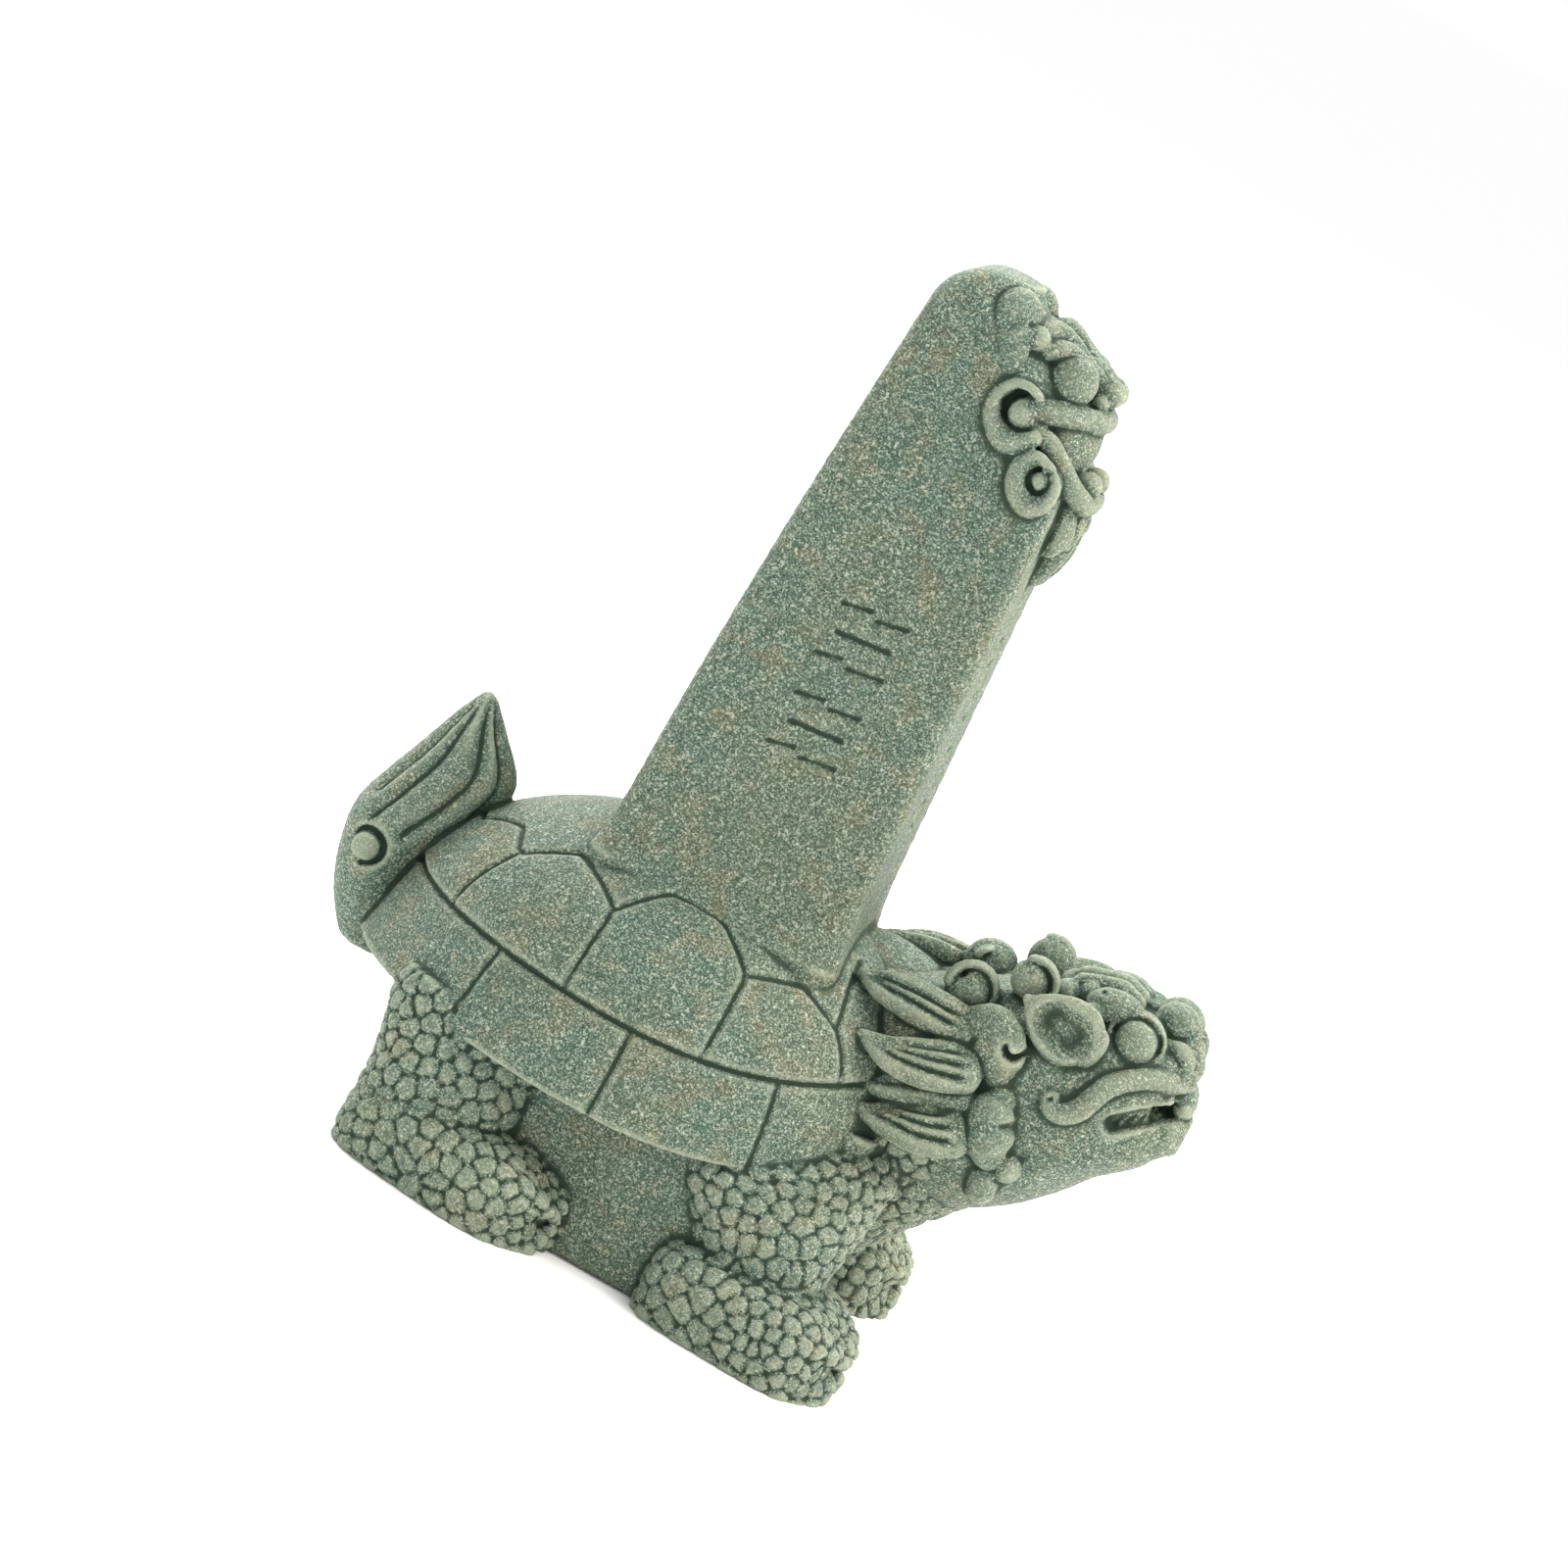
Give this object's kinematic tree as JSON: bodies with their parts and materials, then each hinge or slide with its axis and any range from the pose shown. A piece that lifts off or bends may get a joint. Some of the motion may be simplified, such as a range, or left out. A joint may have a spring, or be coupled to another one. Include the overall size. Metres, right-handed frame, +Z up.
{
  "type": "dragon turtle stele figurine",
  "caption": "Small stone table figure of a dragon turtle with a tall tapered pillar on its shell and a beast mask at the pillar's top, standing on four scaly feet.",
  "frame": {"origin": "centre of the bounding box in plan, on the plane the feet rest on", "axes": "+X towards the dragon's head, +Y towards its left side, +Z up"},
  "size_m": [0.095, 0.062, 0.11],
  "materials": {
    "stone": "matte, finely speckled grey-green"
  },
  "bodies": {
    "root": {"dragon_turtle": "stone"}
  },
  "joints": []
}
